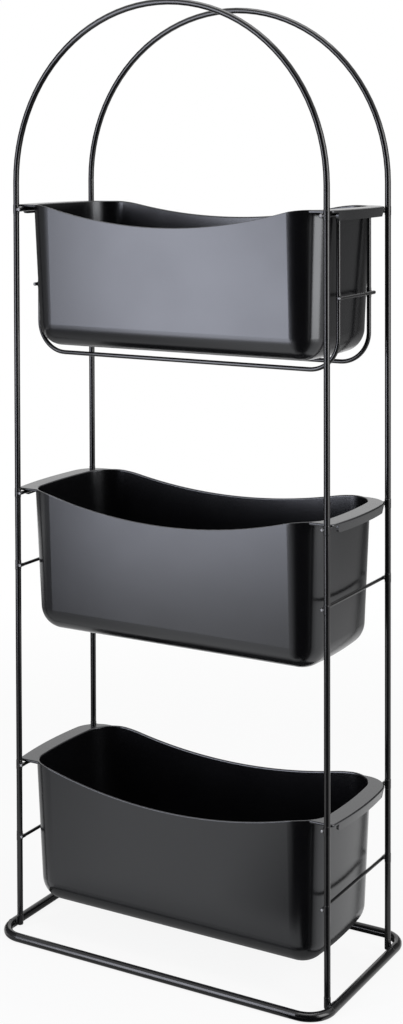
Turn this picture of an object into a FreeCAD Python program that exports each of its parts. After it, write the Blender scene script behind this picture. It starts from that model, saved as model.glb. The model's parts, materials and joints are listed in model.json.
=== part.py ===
import FreeCAD, Part
import math
import os
import Sketcher

# Floor-standing shower shelf: a welded wire frame that carries three lift-off bins.
# Millimetres, +Z up. The origin is on the floor under the middle of the base ring.

SIZES = (
    ("hoop_width", 320.0, "between the centres of a hoop's two uprights"),
    ("hoop_spacing", 125.0, "between the planes of the two hoops"),
    ("hoop_wire", 5.5, "diameter of a hoop's wire"),
    ("spring_height", 700.0, "where the uprights end and the half-round top starts"),
    ("foot_height", 3.0, "cut end of an upright above the floor"),
    ("ring_length", 332.0, "base ring, centre to centre of its short sides"),
    ("ring_depth", 176.0, "base ring, centre to centre of its long sides"),
    ("ring_bend", 22.0, "corner radius of the base ring on its centreline"),
    ("ring_wire", 8.0, "diameter of the base ring's rod"),
    ("rod_wire", 3.0, "diameter of the rods that run front to back"),
    ("rod_overhang", 2.0, "a rod's end past the upright's centre"),
    ("end_round", 0.6, "rounded edge of a wire's cut end"),
    ("weld_depth", 0.5, "how far a rod beds into the wire it is welded to"),
    ("lower_hanger", 154.5, "height of the lower bin's hanger rods"),
    ("middle_hanger", 410.0, "height of the middle bin's hanger rods"),
    ("guide_drop", 67.5, "guide rods below their hanger rods"),
    ("cradle_wire", 4.0, "diameter of the cradle's two wires"),
    ("cradle_hanger", 674.5, "height where a cradle wire leaves the uprights"),
    ("cradle_floor", 540.0, "height of the cradle wires under the upper bin"),
    ("cradle_spread", 62.0, "between the two cradle wires"),
    ("cradle_knee", 7.0, "bend radius where a cradle wire turns down"),
    ("cradle_bend", 28.0, "bend radius of a cradle wire under the bin"),
    ("tie_height", 603.0, "height of the cradle ties"),
    ("tie_overhang", 4.5, "a tie's end past the cradle wire's centre"),
    ("bin_length", 307.0, "bin outside at the rim, across its bowed ends"),
    ("bin_depth", 130.4, "bin outside at the rim, front to back"),
    ("bin_height", 131.0, "from the top of the lips to the underside"),
    ("bin_corner", 29.0, "upright corners of the bin at the rim"),
    ("bin_bow", 420.0, "radius of the bowed end walls"),
    ("wall_draft", 2.6, "lean of the walls, in degrees"),
    ("floor_round", 22.0, "radius between the walls and the floor, outside"),
    ("bin_wall", 2.2, "wall and floor thickness"),
    ("rim_round", 0.5, "rounded outer edge of the rim"),
    ("rim_inner_round", 1.2, "rounded inner edge of the rim"),
    ("front_scoop_depth", 18.3, "how far the front rim dips in the middle"),
    ("front_scoop_radius", 470.0, "radius of the front dip"),
    ("front_scoop_shoulder", 82.0, "radius where the front dip meets the lips"),
    ("rear_scoop_depth", 13.2, "how far the rear rim dips in the middle"),
    ("rear_scoop_radius", 536.0, "radius of the rear dip"),
    ("rear_scoop_shoulder", 138.0, "radius where the rear dip meets the lips"),
    ("lip_length", 336.0, "bin across both lips"),
    ("lip_bow", 380.0, "radius of a lip's outer edge"),
    ("lip_front", 58.8, "a lip's front edge from the middle, just behind the uprights"),
    ("lip_front_corner", 5.0, "front corner radius of a lip"),
    ("lip_rear", 62.5, "a lip's rear edge from the middle"),
    ("lip_rear_corner", 26.0, "rear corner radius of a lip"),
    ("lip_round", 1.2, "rounded top edge of a lip"),
    ("lip_thickness", 2.2, "thickness of a lip and of its down-turned edge"),
    ("lip_overlap", 0.75, "how far a lip reaches into the rim it grows from"),
    ("skirt_height", 9.0, "down-turned edge, from the top of the lip"),
    ("skirt_draft", 13.0, "lean of the down-turned edge, in degrees"),
    ("skirt_length", 96.0, "down-turned edge, end to end"),
    ("skirt_round", 5.0, "rounded lower corners of the down-turned edge"),
    ("seat_gap", 0.3, "clearance between a lip and its rods"),
    ("drain_hole", 6.0, "diameter of the holes in a bin's floor"),
    ("drain_pitch", 60.0, "between the holes in a bin's floor"),
    ("drain_count", 4, "holes in a bin's floor"),
)

# Points of a sketch's line or arc, and its own axes, as constraints count them.
START, END, CENTRE = 1, 2, 3
X_AXIS, Y_AXIS = -1, -2

UP = FreeCAD.Vector(0, 0, 1)
SAME_HEIGHT = 0.01
LEVEL = 0.7
CRADLE_X = "(Sizes.hoop_width / 2 - (Sizes.hoop_wire + Sizes.cradle_wire) / 2 + Sizes.weld_depth)"
UPRIGHT_Y = "(Sizes.cradle_spread - Sizes.hoop_spacing) / 2"
ROD_TOP = "Sizes.rod_wire / 2"

doc = FreeCAD.newDocument("shower_shelf")
sheet = doc.addObject("Spreadsheet::Sheet", "Sizes")
for row, (alias, value, meaning) in enumerate(SIZES, 1):
    sheet.set(f"A{row}", meaning)
    sheet.set(f"B{row}", str(value))
    sheet.setAlias(f"B{row}", alias)
doc.recompute()


def size(alias):
    """The value of one driving dimension."""
    return float(sheet.get(alias))


def point(x, y):
    """A point of a sketch."""
    return FreeCAD.Vector(x, y, 0)


def arc(x, y, radius, start, end):
    """An arc of a sketch about x, y, turning left from one angle to the other, in radians."""
    return Part.ArcOfCircle(Part.Circle(point(x, y), UP, radius), start, end)


def new_body(label):
    """An empty body whose label names its file."""
    body = doc.addObject("PartDesign::Body", label)
    body.Label = label
    return body


def origin_plane(body, role):
    """One of a body's own origin planes."""
    return next(f for f in body.Origin.OriginFeatures if f.Role == role)


def new_sketch(body, name, role, height=None):
    """A sketch on an origin plane of its body, raised off it by an expression."""
    sketch = body.newObject("Sketcher::SketchObject", name)
    sketch.AttachmentSupport = [(origin_plane(body, role), "")]
    sketch.MapMode = "FlatFace"
    if height:
        sketch.setExpression("AttachmentOffset.Base.z", height)
    return sketch


def sheet_value(expression):
    """The number that an expression on the sheet comes to."""
    result = sheet.evalExpression(expression.replace("Sizes.", ""))
    return float(getattr(result, "Value", result))


def drive(sketch, kind, geometry, name, expression):
    """Adds a dimension to a sketch and binds it to an expression on the sheet."""
    index = sketch.addConstraint(Sketcher.Constraint(kind, *geometry, sheet_value(expression)))
    sketch.renameConstraint(index, name)
    sketch.setExpression(f"Constraints.{name}", expression)


def join(sketch, chain, closed):
    """Joins a chain of (geometry, first end, last end) end to end, without corners."""
    pairs = list(zip(chain, chain[1:]))
    if closed:
        pairs.append((chain[-1], chain[0]))
    for (one, _, last), (two, first, _) in pairs:
        sketch.addConstraint(Sketcher.Constraint("Tangent", one, last, two, first))


def circle_sketch(body, name, role, x, y, diameter, height=None):
    """A sketch of one circle; x, y, diameter and height are expressions."""
    return circles_sketch(body, name, role, ((x, y),), diameter, height)


def circles_sketch(body, name, role, centres, diameter, height=None):
    """A sketch of equal circles at the given pairs of expressions."""
    sketch = new_sketch(body, name, role, height)
    for index, (x, y) in enumerate(centres):
        start = point(sheet_value(x), sheet_value(y))
        circle = sketch.addGeometry(Part.Circle(start, UP, sheet_value(diameter) / 2), False)
        for kind, letter, expression in (("DistanceX", "x", x), ("DistanceY", "y", y)):
            drive(sketch, kind, (circle, CENTRE), f"{letter}{index}", expression)
        drive(sketch, "Diameter", (circle,), f"diameter{index}", diameter)
    return sketch


def pad(body, name, sketch, length, reverse=False, both_ways=False):
    """Extrudes a sketch by an expression."""
    feature = body.newObject("PartDesign::Pad", name)
    feature.Profile = sketch
    feature.setExpression("Length", length)
    feature.Reversed = reverse
    if both_ways:
        feature.SideType = "Symmetric"
    return feature


def cut_through(body, name, sketch, length):
    """Cuts a sketch through the body, half of the length to each side of the sketch."""
    feature = body.newObject("PartDesign::Pocket", name)
    feature.Profile = sketch
    feature.setExpression("Length", length)
    feature.SideType = "Symmetric"
    return feature


def pipe(body, name, profile, path):
    """Sweeps a round profile along every edge of a path sketch."""
    doc.recompute()
    feature = body.newObject("PartDesign::AdditivePipe", name)
    feature.Profile = profile
    feature.Spine = (path, [f"Edge{i + 1}" for i in range(len(path.Shape.Edges))])
    return feature


def mirror(body, name, features, role):
    """Repeats features on the other side of one of the body's origin planes."""
    feature = body.newObject("PartDesign::Mirrored", name)
    feature.Originals = features
    feature.MirrorPlane = (origin_plane(body, role), [""])
    body.Tip = feature
    doc.recompute()


def base_ring():
    """The closed ring of thick rod: half of it swept, then mirrored."""
    body = new_body("base_ring")
    path = new_sketch(body, "ring_path", "XY_Plane")
    x, y, r = size("ring_length") / 2, size("ring_depth") / 2, size("ring_bend")
    quarter = math.pi / 2
    pieces = (
        Part.LineSegment(point(0, -y), point(x - r, -y)),
        arc(x - r, r - y, r, -quarter, 0),
        Part.LineSegment(point(x, r - y), point(x, y - r)),
        arc(x - r, y - r, r, 0, quarter),
        Part.LineSegment(point(x - r, y), point(0, y)),
    )
    path.addGeometry(list(pieces), False)
    join(path, [(i, START, END) for i in range(len(pieces))], closed=False)
    path.addConstraint(Sketcher.Constraint("Horizontal", 0))
    path.addConstraint(Sketcher.Constraint("Vertical", 2))
    path.addConstraint(Sketcher.Constraint("Horizontal", 4))
    path.addConstraint(Sketcher.Constraint("Equal", 1, 3))
    path.addConstraint(Sketcher.Constraint("PointOnObject", 0, START, Y_AXIS))
    path.addConstraint(Sketcher.Constraint("PointOnObject", 4, END, Y_AXIS))
    drive(path, "Radius", (1,), "bend", "Sizes.ring_bend")
    drive(path, "DistanceX", (2, START), "half_length", "Sizes.ring_length / 2")
    drive(path, "DistanceY", (0, START), "front", "-Sizes.ring_depth / 2")
    drive(path, "DistanceY", (4, END), "rear", "Sizes.ring_depth / 2")
    profile = circle_sketch(body, "ring_section", "YZ_Plane", "-Sizes.ring_depth / 2", "0",
                            "Sizes.ring_wire")
    half = pipe(body, "half_ring", profile, path)
    mirror(body, "whole_ring", [half], "YZ_Plane")
    body.setExpression("Placement.Base.z", "Sizes.ring_wire / 2")
    return body


def hoop(label, side):
    """An inverted-U wire whose feet are coped round the base ring's short sides."""
    body = new_body(label)
    path = new_sketch(body, "hoop_path", "XZ_Plane")
    x, foot, spring = size("hoop_width") / 2, size("foot_height"), size("spring_height")
    pieces = (
        Part.LineSegment(point(x, foot), point(x, spring)),
        arc(0, spring, x, 0, math.pi),
        Part.LineSegment(point(-x, spring), point(-x, foot)),
    )
    path.addGeometry(list(pieces), False)
    join(path, [(i, START, END) for i in range(len(pieces))], closed=False)
    path.addConstraint(Sketcher.Constraint("Vertical", 0))
    path.addConstraint(Sketcher.Constraint("Horizontal", 0, START, 2, END))
    path.addConstraint(Sketcher.Constraint("PointOnObject", 1, CENTRE, Y_AXIS))
    drive(path, "DistanceX", (0, START), "half_width", "Sizes.hoop_width / 2")
    drive(path, "DistanceY", (0, START), "foot", "Sizes.foot_height")
    drive(path, "DistanceY", (1, CENTRE), "spring", "Sizes.spring_height")
    profile = circle_sketch(body, "hoop_section", "XY_Plane", "Sizes.hoop_width / 2", "0",
                            "Sizes.hoop_wire", "Sizes.foot_height")
    pipe(body, "hoop_wire", profile, path)
    rails = [(f"{sign} * Sizes.ring_length / 2", "Sizes.ring_wire / 2") for sign in (-1, 1)]
    saddles = circles_sketch(body, "ring_rails", "XZ_Plane", rails, "Sizes.ring_wire")
    cut_through(body, "foot_copes", saddles, "2 * Sizes.hoop_wire")
    body.setExpression("Placement.Base.y", f"{side} * Sizes.hoop_spacing / 2")
    return body


def welded_rod(label, x, z, half_length, wire_x, wire_y, wire):
    """A straight rod, front to back, bedded into the two upright wires it is welded to.

    Everything but the label is an expression: the rod's place and half-length, and the wires' places
    and diameter.
    """
    body = new_body(label)
    section = circle_sketch(body, "rod_section", "XZ_Plane", x, z, "Sizes.rod_wire")
    pad(body, "rod", section, f"2 * ({half_length})", both_ways=True)
    doc.recompute()
    fillet(body, "rod_ends", at_reach(sheet_value(half_length)), "Sizes.end_round")
    wires = [(wire_x, f"{sign} * ({wire_y})") for sign in (-1, 1)]
    beds = circles_sketch(body, "welded_wires", "XY_Plane", wires, wire, z)
    cut_through(body, "weld_beds", beds, "2 * Sizes.rod_wire")
    return body


def tier_rods(tier, hanger):
    """A bin's two hanger rods and the two guide rods below them, inside the uprights."""
    bodies = []
    for side, sign in (("left", -1), ("right", 1)):
        for kind, height in (("hanger", hanger), ("guide", f"{hanger} - Sizes.guide_drop")):
            inset = "(Sizes.hoop_wire + Sizes.rod_wire) / 2 - Sizes.weld_depth"
            bodies.append(welded_rod(
                f"{tier}_{side}_{kind}_rod",
                x=f"{sign} * (Sizes.hoop_width / 2 - ({inset}))",
                z=height,
                half_length="Sizes.hoop_spacing / 2 + Sizes.rod_overhang",
                wire_x=f"{sign} * Sizes.hoop_width / 2",
                wire_y="Sizes.hoop_spacing / 2",
                wire="Sizes.hoop_wire"))
    return bodies


def cradle_wire(label, turn):
    """A wire that leaves one hoop's uprights, turns down and passes under the upper bin.

    It is drawn for the front hoop, in the wire's own plane, and turned about Z into place.
    """
    body = new_body(label)
    x = sheet_value(CRADLE_X)
    low, high = size("cradle_floor"), size("cradle_hanger")
    bend, knee = size("cradle_bend"), size("cradle_knee")
    under = new_sketch(body, "under_bin_path", "XZ_Plane")
    pieces = (
        Part.LineSegment(point(0, low), point(x - bend, low)),
        arc(x - bend, low + bend, bend, -math.pi / 2, 0),
        Part.LineSegment(point(x, low + bend), point(x, high - knee)),
    )
    under.addGeometry(list(pieces), False)
    join(under, [(i, START, END) for i in range(len(pieces))], closed=False)
    under.addConstraint(Sketcher.Constraint("Horizontal", 0))
    under.addConstraint(Sketcher.Constraint("Vertical", 2))
    under.addConstraint(Sketcher.Constraint("PointOnObject", 0, START, Y_AXIS))
    drive(under, "Radius", (1,), "bend", "Sizes.cradle_bend")
    drive(under, "DistanceX", (2, END), "reach", CRADLE_X)
    drive(under, "DistanceY", (0, START), "floor", "Sizes.cradle_floor")
    drive(under, "DistanceY", (2, END), "top", "Sizes.cradle_hanger - Sizes.cradle_knee")
    section = circle_sketch(body, "under_bin_section", "YZ_Plane", "0", "Sizes.cradle_floor",
                            "Sizes.cradle_wire")
    lower_run = pipe(body, "under_bin_run", section, under)
    stub = new_sketch(body, "stub_path", "YZ_Plane", CRADLE_X)
    end = sheet_value(UPRIGHT_Y) - size("rod_overhang")
    stub.addGeometry([
        arc(-knee, high - knee, knee, 0, math.pi / 2),
        Part.LineSegment(point(-knee, high), point(end, high)),
    ], False)
    join(stub, [(i, START, END) for i in range(stub.GeometryCount)], closed=False)
    stub.addConstraint(Sketcher.Constraint("Horizontal", 1))
    stub.addConstraint(Sketcher.Constraint("Horizontal", 0, START, 0, CENTRE))
    stub.addConstraint(Sketcher.Constraint("PointOnObject", 0, START, Y_AXIS))
    drive(stub, "Radius", (0,), "knee", "Sizes.cradle_knee")
    drive(stub, "DistanceY", (1, END), "height", "Sizes.cradle_hanger")
    drive(stub, "DistanceX", (1, END), "end", f"{UPRIGHT_Y} - Sizes.rod_overhang")
    stub_section = circle_sketch(body, "stub_section", "XY_Plane", CRADLE_X, "0",
                                 "Sizes.cradle_wire", "Sizes.cradle_hanger - Sizes.cradle_knee")
    stub_run = pipe(body, "stub_run", stub_section, stub)
    mirror(body, "both_halves", [lower_run, stub_run], "YZ_Plane")
    fillet(body, "stub_ends", at_reach(-end), "Sizes.end_round")
    uprights = [(f"{sign} * Sizes.hoop_width / 2", UPRIGHT_Y) for sign in (-1, 1)]
    beds = circles_sketch(body, "welded_uprights", "XY_Plane", uprights, "Sizes.hoop_wire",
                          "Sizes.cradle_hanger")
    cut_through(body, "weld_beds", beds, "2 * Sizes.cradle_wire")
    body.Placement = FreeCAD.Placement(FreeCAD.Vector(), FreeCAD.Rotation(UP, turn))
    body.setExpression("Placement.Base.y", f"{-1 if turn == 0 else 1} * Sizes.cradle_spread / 2")
    return body


def cradle_tie(label, sign):
    """A short rod welded to the outer sides of the two cradle wires."""
    offset = "(Sizes.cradle_wire + Sizes.rod_wire) / 2 - Sizes.weld_depth"
    return welded_rod(
        label,
        x=f"{sign} * ({CRADLE_X} + {offset})",
        z="Sizes.tie_height",
        half_length="Sizes.cradle_spread / 2 + Sizes.tie_overhang",
        wire_x=f"{sign} * {CRADLE_X}",
        wire_y="Sizes.cradle_spread / 2",
        wire="Sizes.cradle_wire")


def outline(body, name, half_length, bow, front, rear):
    """A rounded outline whose short sides bow outwards.

    Every size is an expression; front and rear each give the side's distance from the middle and
    its corner radius.
    """
    sketch = new_sketch(body, name, "XY_Plane")
    big = sheet_value(bow)
    bow_x = sheet_value(half_length) - big

    def corner(side):
        depth, radius = (sheet_value(expression) for expression in side)
        reach = math.sqrt((big - radius) ** 2 - (depth - radius) ** 2)
        return depth, radius, bow_x + reach, math.atan2(depth - radius, reach)

    front_y, front_r, front_x, front_lean = corner(front)
    rear_y, rear_r, rear_x, rear_lean = corner(rear)
    quarter, half = math.pi / 2, math.pi
    sketch.addGeometry([
        Part.LineSegment(point(-front_x, -front_y), point(front_x, -front_y)),
        arc(front_x, front_r - front_y, front_r, -quarter, -front_lean),
        arc(bow_x, 0, big, -front_lean, rear_lean),
        arc(rear_x, rear_y - rear_r, rear_r, rear_lean, quarter),
        Part.LineSegment(point(rear_x, rear_y), point(-rear_x, rear_y)),
        arc(-rear_x, rear_y - rear_r, rear_r, quarter, half - rear_lean),
        arc(-bow_x, 0, big, half - rear_lean, half + front_lean),
        arc(-front_x, front_r - front_y, front_r, half + front_lean, half + quarter),
    ], False)
    join(sketch, [(i, START, END) for i in range(sketch.GeometryCount)], closed=True)
    for line in (0, 4):
        sketch.addConstraint(Sketcher.Constraint("Horizontal", line))
    for end in (2, 6):
        sketch.addConstraint(Sketcher.Constraint("PointOnObject", end, CENTRE, X_AXIS))
    for one, other in ((1, 7), (2, 6), (3, 5)):
        sketch.addConstraint(Sketcher.Constraint("Equal", one, other))
    drive(sketch, "Radius", (1,), "front_corner", front[1])
    drive(sketch, "Radius", (3,), "rear_corner", rear[1])
    drive(sketch, "Radius", (2,), "bow", bow)
    drive(sketch, "DistanceX", (2, CENTRE), "right_bow", f"{half_length} - ({bow})")
    drive(sketch, "DistanceX", (6, CENTRE), "left_bow", f"{bow} - ({half_length})")
    drive(sketch, "DistanceY", (0, START), "front", f"-({front[0]})")
    drive(sketch, "DistanceY", (4, START), "rear", rear[0])
    return sketch


def wall_outline(body, name, inset):
    """The bin's outline at the rim, drawn in by an expression."""
    side = (f"Sizes.bin_depth / 2 - {inset}", f"Sizes.bin_corner - {inset}")
    return outline(body, name, f"Sizes.bin_length / 2 - {inset}", f"Sizes.bin_bow - {inset}", side, side)


def middle(face):
    """The place of a face's middle and the way the face looks there."""
    u_start, u_end, v_start, v_end = face.ParameterRange
    u, v = (u_start + u_end) / 2, (v_start + v_end) / 2
    return face.valueAt(u, v), face.normalAt(u, v)


def rise(face):
    """How far the middle of a face looks up: 1 for a level top, 0 for a wall, -1 for an underside."""
    return middle(face)[1].z


def face_names(shape, wanted):
    """Names of a shape's faces that pass a test."""
    return [f"Face{i}" for i, face in enumerate(shape.Faces, 1) if wanted(face)]


def at_height(z):
    """A test for faces and edges that lie at one height."""
    return lambda item: max(abs(item.BoundBox.ZMin - z), abs(item.BoundBox.ZMax - z)) < SAME_HEIGHT


def at_reach(y):
    """A test for the edges of a wire's cut ends, which lie y to the front or rear."""
    def wanted(edge):
        box = edge.BoundBox
        return box.YLength < SAME_HEIGHT and abs(abs(box.YMin) - y) < SAME_HEIGHT

    return wanted


def looks_out(face):
    """True for a wall that faces away from the bin's middle."""
    place, normal = middle(face)
    return place.x * normal.x + place.y * normal.y > 0


def on_rim(shape, outside):
    """A test for the edges between the top of a bin's rim and its outer or inner walls."""
    lowest = -size("front_scoop_depth") - SAME_HEIGHT

    def wanted(edge):
        faces = shape.ancestorsOfType(edge, Part.Face)
        walls = [face for face in faces if rise(face) < LEVEL]
        return edge.BoundBox.ZMin > lowest and len(walls) == 1 and looks_out(walls[0]) == outside

    return wanted


def fillet(body, name, wanted, radius):
    """Rounds the edges of the body's last feature that pass a test."""
    base = body.Tip
    names = [f"Edge{i}" for i, edge in enumerate(base.Shape.Edges, 1) if wanted(edge)]
    feature = body.newObject("PartDesign::Fillet", name)
    feature.Base = (base, names)
    feature.setExpression("Radius", radius)
    doc.recompute()


def drafted_block(body, name, sketch, depth, angle):
    """A block below a sketch, whose walls lean inwards on the way down."""
    block = pad(body, name, sketch, depth, reverse=True)
    doc.recompute()
    draft = body.newObject("PartDesign::Draft", f"{name}_draft")
    draft.Base = (block, face_names(block.Shape, lambda face: abs(rise(face)) < LEVEL))
    draft.NeutralPlane = (origin_plane(body, "XY_Plane"), [""])
    draft.Reversed = True
    draft.setExpression("Angle", angle)
    doc.recompute()


def hollow(body, name, opening, wall):
    """Hollows the body's last feature through its face at the opening's height."""
    base = body.Tip
    feature = body.newObject("PartDesign::Thickness", name)
    feature.Base = (base, face_names(base.Shape, at_height(opening)))
    feature.Reversed = True
    feature.Join = "Intersection"
    feature.setExpression("Value", wall)
    doc.recompute()


def lips(label):
    """The two hook-over lips: a plate with a down-turned edge, cut away except at the bin's ends."""
    body = new_body(label)
    body.AllowCompound = True
    plate = outline(body, "lip_outline", "Sizes.lip_length / 2", "Sizes.lip_bow",
                    ("Sizes.lip_front", "Sizes.lip_front_corner"),
                    ("Sizes.lip_rear", "Sizes.lip_rear_corner"))
    drafted_block(body, "lip_plate", plate, "Sizes.skirt_height", "Sizes.skirt_draft")
    hollow(body, "hook_space", -size("skirt_height"), "Sizes.lip_thickness")
    fillet(body, "lip_edge", at_height(0), "Sizes.lip_round")
    trim = new_sketch(body, "skirt_ends", "YZ_Plane")
    end, far = size("skirt_length") / 2, size("bin_depth")
    low, high, r = -size("skirt_height"), -size("lip_thickness"), size("skirt_round")
    for sign, name in ((1, "rear"), (-1, "front")):
        first = trim.GeometryCount
        turn = (-math.pi / 2, 0) if sign > 0 else (math.pi, 3 * math.pi / 2)
        trim.addGeometry([
            Part.LineSegment(point(sign * end, high), point(sign * end, low + r)),
            arc(sign * (end - r), low + r, r, *turn),
            Part.LineSegment(point(sign * (end - r), low), point(sign * far, low)),
            Part.LineSegment(point(sign * far, low), point(sign * far, high)),
            Part.LineSegment(point(sign * far, high), point(sign * end, high)),
        ], False)
        upper, lower = (END, START) if sign > 0 else (START, END)
        for one, last, two, start in ((0, END, 1, upper), (1, lower, 2, START)):
            trim.addConstraint(Sketcher.Constraint("Tangent", first + one, last, first + two, start))
        for one, two in ((2, 3), (3, 4), (4, 0)):
            trim.addConstraint(Sketcher.Constraint("Coincident", first + one, END, first + two, START))
        for line, way in ((0, "Vertical"), (2, "Horizontal"), (3, "Vertical"), (4, "Horizontal")):
            trim.addConstraint(Sketcher.Constraint(way, first + line))
        drive(trim, "Radius", (first + 1,), f"{name}_round", "Sizes.skirt_round")
        drive(trim, "DistanceX", (first, START), f"{name}_end", f"{sign} * Sizes.skirt_length / 2")
        drive(trim, "DistanceX", (first + 3, START), f"{name}_far", f"{sign} * Sizes.bin_depth")
        drive(trim, "DistanceY", (first, START), f"{name}_high", "-Sizes.lip_thickness")
        drive(trim, "DistanceY", (first + 3, START), f"{name}_low", "-Sizes.skirt_height")
    cut_through(body, "skirt_trim", trim, "2 * Sizes.lip_length")
    opening = wall_outline(body, "tub_outline", "Sizes.lip_overlap")
    cut_through(body, "tub_opening", opening, "4 * Sizes.skirt_height")
    return body


def tub(body):
    """The bin's shell: a block with drafted walls, rounded at the floor and hollowed from the top."""
    rim = wall_outline(body, "rim_outline", "0")
    drafted_block(body, "block", rim, "Sizes.bin_height", "Sizes.wall_draft")
    fillet(body, "floor_round", at_height(-size("bin_height")), "Sizes.floor_round")
    hollow(body, "inside", 0, "Sizes.bin_wall")


def scoop(body, side):
    """Cuts the front or the rear rim down in a dip with rounded shoulders."""
    sketch = new_sketch(body, f"{side}_scoop_outline", "XZ_Plane")
    big, small = size(f"{side}_scoop_radius"), size(f"{side}_scoop_shoulder")
    depth = size(f"{side}_scoop_depth")
    clear = size("lip_thickness")
    centres_apart = big - depth + small
    x = math.sqrt((big + small) ** 2 - centres_apart ** 2)
    lean = math.atan2(centres_apart, x)
    sketch.addGeometry([
        arc(-x, -small, small, lean, math.pi / 2),
        arc(0, big - depth, big, lean - math.pi, -lean),
        arc(x, -small, small, math.pi / 2, math.pi - lean),
        Part.LineSegment(point(x, 0), point(x, clear)),
        Part.LineSegment(point(x, clear), point(-x, clear)),
        Part.LineSegment(point(-x, clear), point(-x, 0)),
    ], False)
    sketch.addConstraint(Sketcher.Constraint("Tangent", 0, START, 1, START))
    sketch.addConstraint(Sketcher.Constraint("Tangent", 1, END, 2, END))
    corners = ((2, START, 3, START), (3, END, 4, START), (4, END, 5, START), (5, END, 0, END))
    for one, last, two, first in corners:
        sketch.addConstraint(Sketcher.Constraint("Coincident", one, last, two, first))
    for line, way in ((3, "Vertical"), (4, "Horizontal"), (5, "Vertical")):
        sketch.addConstraint(Sketcher.Constraint(way, line))
    for shoulder, top in ((0, END), (2, START)):
        sketch.addConstraint(Sketcher.Constraint("Vertical", shoulder, CENTRE, shoulder, top))
        sketch.addConstraint(Sketcher.Constraint("PointOnObject", shoulder, top, X_AXIS))
    sketch.addConstraint(Sketcher.Constraint("Equal", 0, 2))
    sketch.addConstraint(Sketcher.Constraint("PointOnObject", 1, CENTRE, Y_AXIS))
    drive(sketch, "Radius", (0,), "shoulder", f"Sizes.{side}_scoop_shoulder")
    drive(sketch, "Radius", (1,), "dip", f"Sizes.{side}_scoop_radius")
    drive(sketch, "DistanceY", (1, CENTRE), "dip_centre",
          f"Sizes.{side}_scoop_radius - Sizes.{side}_scoop_depth")
    drive(sketch, "DistanceY", (4, START), "clear", "Sizes.lip_thickness")
    feature = body.newObject("PartDesign::Pocket", f"{side}_scoop")
    feature.Profile = sketch
    feature.setExpression("Length", "Sizes.bin_depth")
    feature.Reversed = side == "front"
    doc.recompute()


def drain_holes(body):
    """A row of drain holes through the floor."""
    first = circle_sketch(body, "drain_hole_outline", "XY_Plane",
                          "-Sizes.drain_pitch * (Sizes.drain_count - 1) / 2", "0", "Sizes.drain_hole",
                          "-Sizes.bin_height")
    hole = cut_through(body, "drain_hole", first, "4 * Sizes.bin_wall")
    doc.recompute()
    row = body.newObject("PartDesign::LinearPattern", "drain_holes")
    row.Originals = [hole]
    row.Direction = (origin_plane(body, "X_Axis"), [""])
    row.setExpression("Occurrences", "Sizes.drain_count")
    row.setExpression("Length", "Sizes.drain_pitch * (Sizes.drain_count - 1)")
    body.Tip = row
    doc.recompute()


def bin_on(label, support):
    """A moulded bin whose lips hang over wires with their tops at the given expression."""
    body = new_body(label)
    tub(body)
    scoop(body, "front")
    scoop(body, "rear")
    drain_holes(body)
    fillet(body, "rim_round", on_rim(body.Tip.Shape, outside=True), "Sizes.rim_round")
    fillet(body, "rim_inner_round", on_rim(body.Tip.Shape, outside=False), "Sizes.rim_inner_round")
    whole = body.newObject("PartDesign::Boolean", "with_lips")
    whole.Type = "Fuse"
    whole.setObjects([lips(f"{label}_lips")])
    body.setExpression("Placement.Base.z", f"{support} + Sizes.seat_gap + Sizes.lip_thickness")
    return body


bodies = [base_ring(), hoop("front_hoop", -1), hoop("rear_hoop", 1)]
bodies += tier_rods("lower", "Sizes.lower_hanger") + tier_rods("middle", "Sizes.middle_hanger")
bodies += [cradle_wire("front_cradle_wire", 0), cradle_wire("rear_cradle_wire", 180)]
bodies += [cradle_tie("left_cradle_tie", -1), cradle_tie("right_cradle_tie", 1)]
bodies += [bin_on("lower_bin", f"Sizes.lower_hanger + {ROD_TOP}"),
           bin_on("middle_bin", f"Sizes.middle_hanger + {ROD_TOP}"),
           bin_on("upper_bin", "Sizes.cradle_hanger + Sizes.cradle_wire / 2")]
doc.recompute()

for item in doc.Objects:
    if "Invalid" in item.State or "Error" in item.State:
        raise RuntimeError(f"{item.Label} failed: {item.State}")
os.makedirs("parts", exist_ok=True)
for body in bodies:
    if body.Shape.isNull() or not body.Shape.isValid():
        raise RuntimeError(f"{body.Label} has no valid shape")
    body.Shape.exportStep(f"parts/{body.Label}.step")
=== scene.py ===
"""Shower shelf: finishes, welds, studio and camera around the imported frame."""

import json
import logging
import math
from dataclasses import dataclass
from enum import Enum

import bmesh
import bpy
from mathutils import Matrix, Vector

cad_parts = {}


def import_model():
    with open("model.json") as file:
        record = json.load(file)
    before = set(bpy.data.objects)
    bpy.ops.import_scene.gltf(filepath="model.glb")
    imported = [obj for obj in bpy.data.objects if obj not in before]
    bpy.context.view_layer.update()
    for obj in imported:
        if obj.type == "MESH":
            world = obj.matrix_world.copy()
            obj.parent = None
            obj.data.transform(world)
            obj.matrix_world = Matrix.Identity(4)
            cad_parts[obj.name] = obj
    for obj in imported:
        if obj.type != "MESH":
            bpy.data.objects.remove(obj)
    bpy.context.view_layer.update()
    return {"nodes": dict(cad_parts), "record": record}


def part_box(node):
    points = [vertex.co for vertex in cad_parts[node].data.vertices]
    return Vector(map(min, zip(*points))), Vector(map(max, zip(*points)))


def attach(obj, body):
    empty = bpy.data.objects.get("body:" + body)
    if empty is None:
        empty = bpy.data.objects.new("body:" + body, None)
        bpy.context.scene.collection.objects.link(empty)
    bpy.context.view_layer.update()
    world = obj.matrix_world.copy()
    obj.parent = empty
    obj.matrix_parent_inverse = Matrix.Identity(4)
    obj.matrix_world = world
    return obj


LOG = logging.getLogger("shower_shelf")
PICTURE_HEIGHT_PX = 1024
COVER = "cover"
WIRE_SIDES = 32
NOISE_DARK = 0.3
NOISE_LIGHT = 0.7

Colour = tuple[float, float, float]
Point = tuple[float, float, float]

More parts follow.
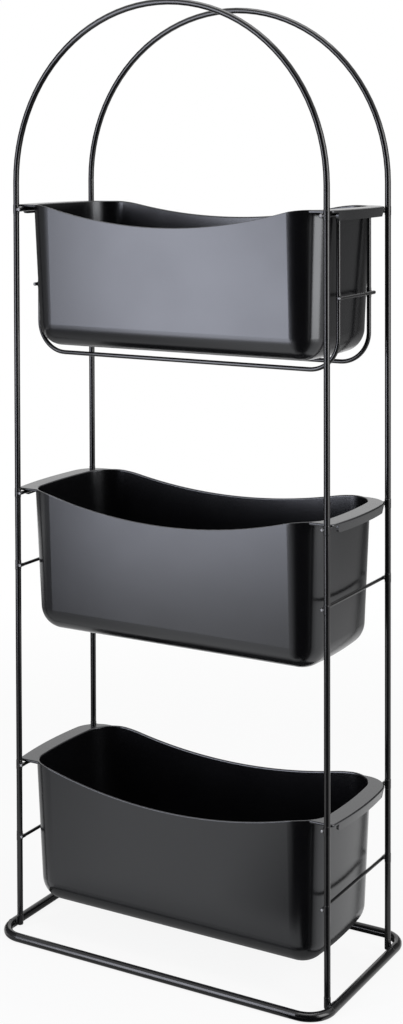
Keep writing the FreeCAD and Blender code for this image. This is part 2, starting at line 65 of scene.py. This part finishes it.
WHITE: Colour = (1.0, 1.0, 1.0)
COOL_WHITE: Colour = (0.86, 0.88, 1.0)


class Body(Enum):
    """The bodies that pieces ride on."""

    FRAME = "frame"
    LOWER_BIN = "lower_bin"
    MIDDLE_BIN = "middle_bin"
    UPPER_BIN = "upper_bin"


class Slot(Enum):
    """The record's material slot for the frame's coat."""

    FRAME_COAT = "frame_coat"


class NodeBoard:
    """A material's or world's node tree, emptied and ready to be wired."""

    def __init__(self, owner: bpy.types.ID) -> None:
        """Empties the owner's node tree.

        Args:
            owner: the material or world that holds the tree.
        """
        owner.use_nodes = True
        self.tree = owner.node_tree
        self.tree.nodes.clear()

    def add(self, kind: str, **inputs: object) -> bpy.types.Node:
        """Adds a node.

        Args:
            kind: the node's type name.
            inputs: values for its sockets, with _ for each space in a socket's name.

        Returns:
            The new node.
        """
        node = self.tree.nodes.new(kind)
        for name, value in inputs.items():
            node.inputs[name.replace("_", " ")].default_value = value
        return node

    def join(self, source: bpy.types.NodeSocket, target: bpy.types.NodeSocket) -> None:
        """Wires one socket to another."""
        self.tree.links.new(source, target)

    def noise(self, place: bpy.types.NodeSocket, scale: float, detail: float) -> bpy.types.NodeSocket:
        """Adds a noise pattern in the object's own space.

        Args:
            place: the socket that gives the point.
            scale: cells to the metre.
            detail: octaves of finer noise on top.

        Returns:
            The pattern's value socket.
        """
        node = self.add("ShaderNodeTexNoise", Scale=scale, Detail=detail)
        self.join(place, node.inputs["Vector"])
        return node.outputs["Fac"]

    def spread(self, value: bpy.types.NodeSocket, low: float, high: float) -> bpy.types.NodeSocket:
        """Maps the middle of a noise pattern to a range.

        Args:
            value: the pattern's value socket.
            low: what its dark patches become.
            high: what its light patches become.

        Returns:
            The mapped value's socket.
        """
        node = self.add("ShaderNodeMapRange", From_Min=NOISE_DARK, From_Max=NOISE_LIGHT, To_Min=low,
                        To_Max=high)
        self.join(value, node.inputs["Value"])
        return node.outputs["Result"]

    def two_tone(self, value: bpy.types.NodeSocket, dark: Colour, pale: Colour) -> bpy.types.NodeSocket:
        """Colours a noise pattern between two tones.

        Args:
            value: the pattern's value socket.
            dark: colour of its dark patches.
            pale: colour of its light patches.

        Returns:
            The colour socket.
        """
        node = self.add("ShaderNodeValToRGB")
        first, last = node.color_ramp.elements
        first.position, first.color = NOISE_DARK, (*dark, 1.0)
        last.position, last.color = NOISE_LIGHT, (*pale, 1.0)
        self.join(value, node.inputs["Fac"])
        return node.outputs["Color"]

    def bump(self, height: bpy.types.NodeSocket, depth: float,
             under: bpy.types.NodeSocket | None = None) -> bpy.types.NodeSocket:
        """Raises a surface by a pattern.

        Args:
            height: the pattern's value socket.
            depth: height of the pattern in metres.
            under: the normal of a coarser bump below this one.

        Returns:
            The bumped normal's socket.
        """
        node = self.add("ShaderNodeBump", Strength=1.0, Distance=depth)
        self.join(height, node.inputs["Height"])
        if under is not None:
            self.join(under, node.inputs["Normal"])
        return node.outputs["Normal"]


@dataclass(frozen=True)
class SatinBlack:
    """A satin surface: uneven tone and sheen over two sizes of relief.

    The tones are black, or pale grey where they paint a highlight on the rods' cut ends. The sheen's
    two numbers are its roughness, and the gloss tint colours what it mirrors.
    """

    name: str
    dark: Colour
    pale: Colour
    patches_per_m: float
    sheen_low: float
    sheen_high: float
    sheen_per_m: float
    wave_per_m: float
    wave_depth: float
    grain_per_m: float
    grain_depth: float
    ior: float
    gloss_tint: Colour = WHITE

    def material(self) -> bpy.types.Material:
        """Makes the node material.

        Returns:
            The finished material.
        """
        material = bpy.data.materials.new(self.name)
        board = NodeBoard(material)
        place = board.add("ShaderNodeTexCoord").outputs["Object"]
        shader = board.add("ShaderNodeBsdfPrincipled", IOR=self.ior,
                           Specular_Tint=(*self.gloss_tint, 1.0))
        patches = board.noise(place, self.patches_per_m, detail=4.0)
        board.join(board.two_tone(patches, self.dark, self.pale), shader.inputs["Base Color"])
        sheen = board.noise(place, self.sheen_per_m, detail=2.0)
        board.join(board.spread(sheen, self.sheen_low, self.sheen_high), shader.inputs["Roughness"])
        waves = board.bump(board.noise(place, self.wave_per_m, detail=1.0), self.wave_depth)
        grain = board.noise(place, self.grain_per_m, detail=2.0)
        board.join(board.bump(grain, self.grain_depth, under=waves), shader.inputs["Normal"])
        output = board.add("ShaderNodeOutputMaterial")
        board.join(shader.outputs["BSDF"], output.inputs["Surface"])
        return material


POWDER_COAT = SatinBlack(
    name="powder_coat",
    dark=(0.0038, 0.0038, 0.0042),
    pale=(0.0062, 0.0062, 0.0067),
    patches_per_m=60.0,
    sheen_low=0.15,
    sheen_high=0.19,
    sheen_per_m=90.0,
    wave_per_m=110.0,
    wave_depth=0.000002,
    grain_per_m=700.0,
    grain_depth=0.0000002,
    ior=1.5,
)
# Painted highlight: pale greys on the rods' cut ends stand in for light glinting off them.
PAINTED_HIGHLIGHT_CUT_END = SatinBlack(
    name="cut_end_painted_highlight",
    dark=(0.2, 0.2, 0.205),
    pale=(0.5, 0.5, 0.51),
    patches_per_m=900.0,
    sheen_low=0.2,
    sheen_high=0.3,
    sheen_per_m=900.0,
    wave_per_m=700.0,
    wave_depth=0.00002,
    grain_per_m=2600.0,
    grain_depth=0.000002,
    ior=1.5,
)
MOULDED_PLASTIC = SatinBlack(
    name="moulded_plastic",
    dark=(0.0028, 0.0028, 0.0032),
    pale=(0.0044, 0.0044, 0.005),
    patches_per_m=11.0,
    sheen_low=0.2,
    sheen_high=0.235,
    sheen_per_m=17.0,
    wave_per_m=24.0,
    wave_depth=0.00006,
    grain_per_m=2600.0,
    grain_depth=0.0000015,
    ior=1.6,
    gloss_tint=(0.94, 0.96, 1.0),
)


@dataclass(frozen=True)
class Wire:
    """A straight stretch of round wire, from end to end of its centreline."""

    start: Vector
    end: Vector
    radius: float

    @classmethod
    def rod(cls, node: str) -> "Wire":
        """Finds a packed rod that runs front to back.

        Args:
            node: the rod's name.

        Returns:
            Its stretch of wire.
        """
        low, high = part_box(node)
        middle = (low + high) / 2
        return cls(Vector((middle.x, low.y, middle.z)), Vector((middle.x, high.y, middle.z)),
                   (high.z - low.z) / 2)

    @classmethod
    def uprights(cls, hoop: str) -> list["Wire"]:
        """Finds the two uprights of a packed hoop.

        Args:
            hoop: the hoop's name.

        Returns:
            The left and the right upright.
        """
        low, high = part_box(hoop)
        radius, y = (high.y - low.y) / 2, (high.y + low.y) / 2
        return [cls(Vector((x, y, low.z)), Vector((x, y, high.z)), radius)
                for x in (low.x + radius, high.x - radius)]

    def add_to(self, mesh: bmesh.types.BMesh) -> None:
        """Adds the stretch to a bmesh as a closed round bar.

        Args:
            mesh: the bmesh to add to.
        """
        run = self.end - self.start
        turn = run.to_track_quat("Z", "X").to_matrix().to_4x4()
        bmesh.ops.create_cone(mesh, cap_ends=True, segments=WIRE_SIDES, radius1=self.radius,
                              radius2=self.radius, depth=run.length,
                              matrix=Matrix.Translation((self.start + self.end) / 2) @ turn)


@dataclass
class WeldBeads:
    """Weld metal under the coat, melted round the places where the frame's wires cross."""

    coat: float = 0.00022
    collar: float = 0.0045
    inward: float = 0.0032
    past_cut_end: float = 0.0005
    foot_rise: float = 0.01
    foot_run: float = 0.006
    cradle_wire: float = 0.004
    voxel: float = 0.0003
    melting: int = 16
    softening: float = 0.5
    tip_share: float = 0.8
    tip_dome: float = 0.5
    tip_sides: int = 20
    tip_rings: int = 12

    def build(self, material: bpy.types.Material) -> None:
        """Makes the beads of the feet, of each tier's rods and of the cradle, and the rods' cut ends.

        Args:
            material: the frame's coat.
        """
        uprights = Wire.uprights("front_hoop") + Wire.uprights("rear_hoop")
        self.melt(self.feet(uprights), "foot_welds", material)
        cut_rods: list[Wire] = []
        for tier in ("lower", "middle"):
            rods = [Wire.rod(f"{tier}_{side}_{kind}_rod")
                    for side in ("left", "right") for kind in ("hanger", "guide")]
            self.melt(self.crossings(uprights, rods), f"{tier}_rod_welds", material)
            cut_rods += rods
        stubs, runs = self.cradle_ends()
        self.melt(self.crossings(uprights, stubs), "cradle_stub_welds", material)
        ties = [Wire.rod(f"{side}_cradle_tie") for side in ("left", "right")]
        self.melt(self.crossings(runs, ties), "cradle_tie_welds", material)
        self.cut_ends(cut_rods + stubs + ties)

    def cut_ends(self, rods: list[Wire]) -> None:
        """Domes the rods' cut ends, whose pale finish is a painted highlight.

        Args:
            rods: rods that run front to back.
        """
        mesh = bmesh.new()
        flat = Matrix.Diagonal((1.0, self.tip_dome, 1.0, 1.0))
        for rod in rods:
            for end, outward in ((rod.start, -1.0), (rod.end, 1.0)):
                place = end + Vector((0.0, outward * self.past_cut_end, 0.0))
                made = bmesh.ops.create_uvsphere(mesh, u_segments=self.tip_sides,
                                                 v_segments=self.tip_rings,
                                                 radius=rod.radius * self.tip_share,
                                                 matrix=Matrix.Translation(place) @ flat)
                bmesh.ops.smooth_vert(mesh, verts=made["verts"], factor=self.softening,
                                      use_axis_x=True, use_axis_y=True, use_axis_z=True)
        for face in mesh.faces:
            face.smooth = True
        piece = to_object(mesh, "rod_cut_ends", PAINTED_HIGHLIGHT_CUT_END.material())
        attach(piece, Body.FRAME.value)
        LOG.info("rod_cut_ends are domed")

    def cradle_ends(self) -> tuple[list[Wire], list[Wire]]:
        """Finds the cradle wires' stubs at the uprights and their upright runs beside the bin.

        Returns:
            The two pairs of stubs, each as one rod from hoop to hoop, and the four upright runs.
        """
        front_low, front_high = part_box("front_cradle_wire")
        rear_low, rear_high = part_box("rear_cradle_wire")
        radius = self.cradle_wire / 2
        top = front_high.z - radius
        stubs, runs = [], []
        for x in (front_low.x + radius, front_high.x - radius):
            stubs.append(Wire(Vector((x, front_low.y, top)), Vector((x, rear_high.y, top)), radius))
            for y in (front_high.y - radius, rear_low.y + radius):
                runs.append(Wire(Vector((x, y, front_low.z)), Vector((x, y, top)), radius))
        return stubs, runs

    def crossings(self, posts: list[Wire], rods: list[Wire]) -> bmesh.types.BMesh:
        """Lays a collar round each post and a nugget over each rod end that is welded to it.

        Args:
            posts: the upright wires.
            rods: the rods, which run front to back and end just past the posts.

        Returns:
            The rough beads.
        """
        mesh = bmesh.new()
        for post in posts:
            for rod in (rod for rod in rods if rod.start.x * post.start.x > 0):
                outward = math.copysign(1.0, post.start.y)
                cut_end = rod.start if outward < 0 else rod.end
                weld = Vector((post.start.x, post.start.y, cut_end.z))
                rise = Vector((0.0, 0.0, self.collar))
                inner = Vector((cut_end.x, post.start.y - outward * self.inward, cut_end.z))
                outer = cut_end + Vector((0.0, outward * self.past_cut_end, 0.0))
                Wire(weld - rise, weld + rise, post.radius + self.coat).add_to(mesh)
                Wire(inner, outer, rod.radius + self.coat).add_to(mesh)
        return mesh

    def feet(self, uprights: list[Wire]) -> bmesh.types.BMesh:
        """Lays a collar round each foot and a sleeve over the base ring beside it.

        Args:
            uprights: the hoops' uprights.

        Returns:
            The rough beads.
        """
        mesh = bmesh.new()
        _, ring_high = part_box("base_ring")
        ring = ring_high.z / 2
        for upright in uprights:
            top = upright.start + Vector((0.0, 0.0, self.foot_rise))
            Wire(upright.start, top, upright.radius + self.coat).add_to(mesh)
            side = math.copysign(ring_high.x - ring - self.coat, upright.start.x)
            rail = Vector((side, upright.start.y, ring + self.coat))
            run = Vector((0.0, self.foot_run, 0.0))
            Wire(rail - run, rail + run, ring + self.coat).add_to(mesh)
        return mesh

    def melt(self, mesh: bmesh.types.BMesh, name: str, material: bpy.types.Material) -> None:
        """Melts rough beads into one skin and hangs them on the frame.

        Args:
            mesh: the rough beads.
            name: the piece's name.
            material: the frame's coat.
        """
        piece = to_object(mesh, name, material)
        skin = piece.modifiers.new("skin", "REMESH")
        skin.mode, skin.voxel_size, skin.use_smooth_shade = "VOXEL", self.voxel, True
        flow = piece.modifiers.new("flow", "SMOOTH")
        flow.factor, flow.iterations = self.softening, self.melting
        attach(piece, Body.FRAME.value)
        LOG.info("%s are melted", name)


@dataclass
class WireFrame:
    """The welded frame: base ring, two hoops, the tiers' rods and the upper bin's cradle."""

    finish: SatinBlack = POWDER_COAT

    def dress(self, nodes: dict[str, bpy.types.Object], members: list[str]) -> None:
        """Coats every wire and lays the weld beads.

        Args:
            nodes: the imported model's objects by name.
            members: names of the wires.
        """
        material = self.finish.material()
        for name in members:
            paint(nodes[name], material)
            LOG.info("%s has %s", name, self.finish.name)
        WeldBeads().build(material)


@dataclass
class BinSet:
    """The three moulded bins, which share one finish."""

    finish: SatinBlack = MOULDED_PLASTIC
    bodies: tuple[Body, ...] = (Body.LOWER_BIN, Body.MIDDLE_BIN, Body.UPPER_BIN)

    def dress(self, nodes: dict[str, bpy.types.Object]) -> None:
        """Gives every bin its plastic.

        Args:
            nodes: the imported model's objects by name.
        """
        material = self.finish.material()
        for body in self.bodies:
            paint(nodes[body.value], material)
            LOG.info("%s has %s", body.value, self.finish.name)


@dataclass(frozen=True)
class Softbox:
    """A rectangular lamp that faces a point on the shelf's axis.

    The turn is in degrees round the shelf, from the front towards the right, and the glow is the
    brightness of its face, where 1 is white paper.
    """

    name: str
    turn: float
    reach: float
    height: float
    width: float
    tall: float
    glow: float
    tint: Colour = WHITE
    aim: Point = (0.0, 0.0, 0.4)

    def build(self) -> None:
        """Makes the lamp, which the camera itself doesn't see."""
        lamp = bpy.data.lights.new(self.name, "AREA")
        lamp.shape = "RECTANGLE"
        lamp.size, lamp.size_y = self.width, self.tall
        lamp.energy = self.glow * math.pi * self.width * self.tall
        lamp.color = self.tint
        stand = bpy.data.objects.new(self.name, lamp)
        bpy.context.scene.collection.objects.link(stand)
        stand.location = round_the_shelf(self.turn, self.reach, self.height)
        stand.rotation_euler = (Vector(self.aim) - stand.location).to_track_quat("-Z", "Y").to_euler()
        stand.visible_camera = False


@dataclass(frozen=True)
class DarkCard:
    """A dark board or cloth that only reflections show, in place of the white behind it; the ones under
    the shelf are a painted shadow.

    Cover says how dark it is at each corner, from 1 for black to 0 for as white as the surround.
    """

    name: str
    corners: tuple[Point, Point, Point, Point]
    cover: tuple[float, float, float, float] = (1.0, 1.0, 1.0, 1.0)
    cuts: int = 11

    def build(self, material: bpy.types.Material) -> None:
        """Makes the card, in squares small enough for an even blend.

        Args:
            material: its cloth.
        """
        mesh = bmesh.new()
        density = mesh.verts.layers.float.new(COVER)
        verts = [mesh.verts.new(corner) for corner in self.corners]
        for vert, share in zip(verts, self.cover):
            vert[density] = share
        mesh.faces.new(verts)
        bmesh.ops.subdivide_edges(mesh, edges=mesh.edges[:], cuts=self.cuts, use_grid_fill=True)
        card = to_object(mesh, self.name, material)
        card.visible_camera = card.visible_diffuse = card.visible_shadow = False


@dataclass
class Studio:
    """The pale floor, the white surround, the lamps and the dark cards."""

    floor_reach: float = 9.0
    floor_sides: int = 96
    floor_tone: float = 0.92
    floor_haze: float = 0.9
    shadow_ends: float = 0.5
    white_begins: float = 1.25
    room_light: float = 0.15
    lamps: tuple[Softbox, ...] = (
        Softbox("key_softbox", turn=-26.2, reach=1.25, height=0.36, width=0.465, tall=0.22, glow=6.05,
                tint=COOL_WHITE, aim=(0.0, 0.0, 0.36)),
        Softbox("key_top", turn=-28.2, reach=1.25, height=0.785, width=0.375, tall=0.63, glow=6.05,
                tint=COOL_WHITE, aim=(0.0, 0.0, 0.785)),
        Softbox("left_wing", turn=-43.0, reach=1.2, height=0.725, width=0.24, tall=0.85, glow=1.5,
                tint=COOL_WHITE, aim=(0.0, 0.0, 0.725)),
        Softbox("key_skirt", turn=-26.0, reach=1.25, height=0.125, width=0.46, tall=0.25, glow=4.2,
                tint=COOL_WHITE, aim=(0.0, 0.0, 0.125)),
        Softbox("low_panel", turn=-26.2, reach=1.08, height=0.03, width=0.4, tall=0.16, glow=1.6,
                tint=COOL_WHITE, aim=(0.0, 0.0, 3.0)),
        Softbox("right_strip", turn=84.0, reach=1.4, height=0.85, width=0.86, tall=1.1, glow=4.5,
                aim=(0.0, 0.0, 0.85)),
        Softbox("right_skirt", turn=84.0, reach=1.4, height=0.21, width=0.86, tall=0.18, glow=1.7,
                aim=(0.0, 0.0, 0.21)),
        Softbox("top_softbox", turn=180.0, reach=0.05, height=2.2, width=1.2, tall=1.2, glow=3.8),
    )
    cards: tuple[DarkCard, ...] = (
        DarkCard("front_cloth", ((0.09, -0.11, 0.002), (0.28, -1.95, 0.002), (1.75, -1.2, 0.002),
                                 (0.17, -0.08, 0.002))),
        DarkCard("front_cloth_left", ((0.0, -0.11, 0.002), (-0.62, -1.95, 0.002), (0.28, -1.95, 0.002),
                                      (0.09, -0.11, 0.002)), cover=(0.0, 0.0, 1.0, 1.0)),
        DarkCard("front_cloth_right", ((0.17, -0.08, 0.002), (1.75, -1.2, 0.002), (1.9, -0.05, 0.002),
                                       (0.2, -0.04, 0.002)), cover=(1.0, 1.0, 0.0, 0.0)),
        DarkCard("left_cloth", ((-0.07, -0.11, 0.002), (-0.664, -1.0, 0.002), (-0.797, -1.0, 0.002),
                                (-0.239, -0.11, 0.002)), cover=(0.0, 0.0, 1.0, 0.35)),
        DarkCard("left_cloth_end", ((-0.239, -0.11, 0.002), (-0.797, -1.0, 0.002), (-1.25, -0.6, 0.002),
                                    (-0.22, -0.02, 0.002)), cover=(0.35, 1.0, 1.0, 0.3)),
        DarkCard("left_floor", ((-0.22, -0.02, 0.002), (-1.25, -0.6, 0.002), (-1.15, 1.0, 0.002),
                                (-0.22, 0.1, 0.002)), cover=(0.3, 1.0, 1.0, 0.3)),
        DarkCard("left_screen", ((-0.78, -1.02, 0.0), (-1.25, -0.7, 0.0), (-1.25, -0.7, 1.5),
                                 (-0.78, -1.02, 1.5)), cover=(0.6, 0.6, 0.85, 0.35)),
        # Painted shadow: dark patches under and just before the shelf, seen only in reflections, stand
        # in for the shelf's contact shadow on the floor.
        DarkCard("painted_contact_shadow", ((-0.165, -0.108, 0.001), (0.165, -0.108, 0.001), (0.165, 0.1, 0.001),
                                 (-0.165, 0.1, 0.001)), cover=(0.55, 0.55, 1.0, 1.0)),
        DarkCard("painted_contact_shadow_front", ((-0.165, -0.165, 0.003), (0.165, -0.165, 0.003),
                                       (0.165, -0.108, 0.003), (-0.165, -0.108, 0.003)),
                 cover=(0.0, 0.0, 0.55, 0.55)),
        DarkCard("camera_card", ((-0.6, -1.95, 0.0), (1.75, -1.1, 0.0), (1.75, -1.1, 2.2),
                                 (-0.6, -1.95, 2.2))),
        DarkCard("rear_cloth", ((0.62, 0.35, 0.002), (0.0, 0.55, 0.002), (-0.2, 1.35, 0.002),
                                (0.95, 1.0, 0.002)), cover=(0.0, 0.2, 0.6, 0.5)),
        DarkCard("rear_card", ((0.95, 1.0, 0.0), (-0.15, 1.35, 0.0), (-0.15, 1.35, 1.0),
                               (0.95, 1.0, 1.0)), cover=(0.6, 0.65, 1.0, 0.9)),
        DarkCard("right_card", ((1.35, 0.35, 0.3), (0.95, 1.0, 0.3), (0.95, 1.0, 1.0),
                                (1.35, 0.35, 1.0)), cover=(0.0, 0.8, 0.8, 0.0)),
        DarkCard("left_card", ((-1.25, -0.7, 0.1), (-1.15, 1.0, 0.1), (-1.15, 1.0, 1.5),
                               (-1.25, -0.7, 1.5)), cover=(0.65, 1.0, 1.0, 0.75)),
    )

    def build(self) -> None:
        """Sets up floor, surround, lamps and cards."""
        self.surround()
        self.floor()
        for lamp in self.lamps:
            lamp.build()
            LOG.info("%s is lit", lamp.name)
        cloth = self.dark_cloth()
        for card in self.cards:
            card.build(cloth)
            LOG.info("%s shows in reflections only", card.name)

    def background_rays(self, board: NodeBoard) -> bpy.types.NodeSocket:
        """Finds the rays that look straight, by mirror or through glass at what they meet.

        Args:
            board: the node tree to add to.

        Returns:
            A socket with 1 for such rays and 0 for scattered light.
        """
        path = board.add("ShaderNodeLightPath")
        seen = path.outputs["Is Camera Ray"]
        for kind in ("Is Glossy Ray", "Is Transmission Ray"):
            either = board.add("ShaderNodeMath")
            either.operation = "MAXIMUM"
            board.join(seen, either.inputs[0])
            board.join(path.outputs[kind], either.inputs[1])
            seen = either.outputs["Value"]
        return seen

    def surround(self) -> None:
        """Makes the surround white to look at and dim as a light."""
        world = bpy.data.worlds.new("surround")
        bpy.context.scene.world = world
        board = NodeBoard(world)
        dim = board.add("ShaderNodeBackground", Strength=self.room_light)
        white = board.add("ShaderNodeBackground", Strength=1.0)
        for background in (dim, white):
            background.inputs["Color"].default_value = (*WHITE, 1.0)
        mix = board.add("ShaderNodeMixShader")
        board.join(self.background_rays(board), mix.inputs["Fac"])
        board.join(dim.outputs["Background"], mix.inputs[1])
        board.join(white.outputs["Background"], mix.inputs[2])
        board.join(mix.outputs["Shader"], board.add("ShaderNodeOutputWorld").inputs["Surface"])

    def floor(self) -> None:
        """Lays the floor, pale under the shelf and white further out."""
        material = bpy.data.materials.new("pale_floor")
        material.cycles.emission_sampling = "NONE"
        board = NodeBoard(material)
        place = board.add("ShaderNodeTexCoord").outputs["Object"]
        far = board.add("ShaderNodeVectorMath")
        far.operation = "LENGTH"
        board.join(place, far.inputs[0])
        whiten = board.add("ShaderNodeMapRange", From_Min=self.shadow_ends, From_Max=self.white_begins,
                           To_Min=self.floor_haze, To_Max=1.0)
        whiten.interpolation_type = "SMOOTHSTEP"
        board.join(far.outputs["Value"], whiten.inputs["Value"])
        share = board.add("ShaderNodeMath")
        share.operation = "MULTIPLY"
        board.join(whiten.outputs["Result"], share.inputs[0])
        board.join(self.background_rays(board), share.inputs[1])
        paper = board.add("ShaderNodeBsdfDiffuse")
        paper.inputs["Color"].default_value = (self.floor_tone, self.floor_tone, self.floor_tone, 1.0)
        white = board.add("ShaderNodeEmission", Strength=1.0)
        mix = board.add("ShaderNodeMixShader")
        board.join(share.outputs["Value"], mix.inputs["Fac"])
        board.join(paper.outputs["BSDF"], mix.inputs[1])
        board.join(white.outputs["Emission"], mix.inputs[2])
        board.join(mix.outputs["Shader"], board.add("ShaderNodeOutputMaterial").inputs["Surface"])
        mesh = bmesh.new()
        bmesh.ops.create_circle(mesh, cap_ends=True, segments=self.floor_sides, radius=self.floor_reach)
        to_object(mesh, "floor", material)

    def dark_cloth(self) -> bpy.types.Material:
        """Makes the cards' cloth, black where it covers fully and white where it doesn't; under the
        shelf it paints a shadow.

        Returns:
            The material.
        """
        material = bpy.data.materials.new("dark_cloth")
        material.cycles.emission_sampling = "NONE"
        board = NodeBoard(material)
        density = board.add("ShaderNodeAttribute")
        density.attribute_name = COVER
        left_white = board.add("ShaderNodeMath")
        left_white.operation = "SUBTRACT"
        left_white.inputs[0].default_value = 1.0
        board.join(density.outputs["Fac"], left_white.inputs[1])
        cloth = board.add("ShaderNodeEmission")
        board.join(left_white.outputs["Value"], cloth.inputs["Strength"])
        board.join(cloth.outputs["Emission"], board.add("ShaderNodeOutputMaterial").inputs["Surface"])
        return material


@dataclass
class ShelfCamera:
    """The camera at the photograph's place, with its frame shifted down the shelf."""

    place: Point = (0.8002, -1.3737, 0.7371)
    turn: float = 30.134
    down: float = 1.535
    roll: float = 0.153
    focal_px: float = 1741.2
    shift_px: float = -324.0
    sensor_mm: float = 36.0

    def build(self) -> None:
        """Makes the scene's camera."""
        lens = bpy.data.cameras.new("shelf_camera")
        lens.sensor_width = self.sensor_mm
        lens.lens = self.focal_px * self.sensor_mm / PICTURE_HEIGHT_PX
        lens.shift_y = self.shift_px / PICTURE_HEIGHT_PX
        camera = bpy.data.objects.new("shelf_camera", lens)
        bpy.context.scene.collection.objects.link(camera)
        camera.location = self.place
        angles = (90.0 - self.down, self.roll, self.turn)
        camera.rotation_euler = [math.radians(angle) for angle in angles]
        bpy.context.scene.camera = camera


def round_the_shelf(turn: float, reach: float, height: float) -> Vector:
    """Finds a point round the shelf.

    Args:
        turn: degrees from the front towards the right.
        reach: metres from the shelf's axis.
        height: metres over the floor.

    Returns:
        The point.
    """
    angle = math.radians(turn)
    return Vector((reach * math.sin(angle), -reach * math.cos(angle), height))


def paint(piece: bpy.types.Object, material: bpy.types.Material) -> None:
    """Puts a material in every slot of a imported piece.

    Args:
        piece: the piece's object.
        material: its new material.
    """
    for slot in piece.material_slots:
        slot.material = material


def to_object(mesh: bmesh.types.BMesh, name: str, material: bpy.types.Material) -> bpy.types.Object:
    """Turns a finished bmesh into an object at the origin.

    Args:
        mesh: the bmesh, which is freed.
        name: the object's name.
        material: its material.

    Returns:
        The object.
    """
    data = bpy.data.meshes.new(name)
    mesh.to_mesh(data)
    mesh.free()
    data.materials.append(material)
    made = bpy.data.objects.new(name, data)
    bpy.context.scene.collection.objects.link(made)
    return made


def corners(box: tuple[Vector, Vector]) -> list[list[float]]:
    """Writes a box's two corners as plain lists."""
    return [list(corner) for corner in box]


def main() -> None:
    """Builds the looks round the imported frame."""
    logging.basicConfig(level=logging.INFO, format="%(name)s: %(message)s")
    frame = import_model()
    bodies = frame["record"]["behaviour"]["bodies"]
    WireFrame().dress(frame["nodes"], bodies[Body.FRAME.value])
    BinSet().dress(frame["nodes"])
    Studio().build()
    ShelfCamera().build()
    bpy.context.scene.view_settings.view_transform = "Standard"


if __name__ == "__main__":
    main()
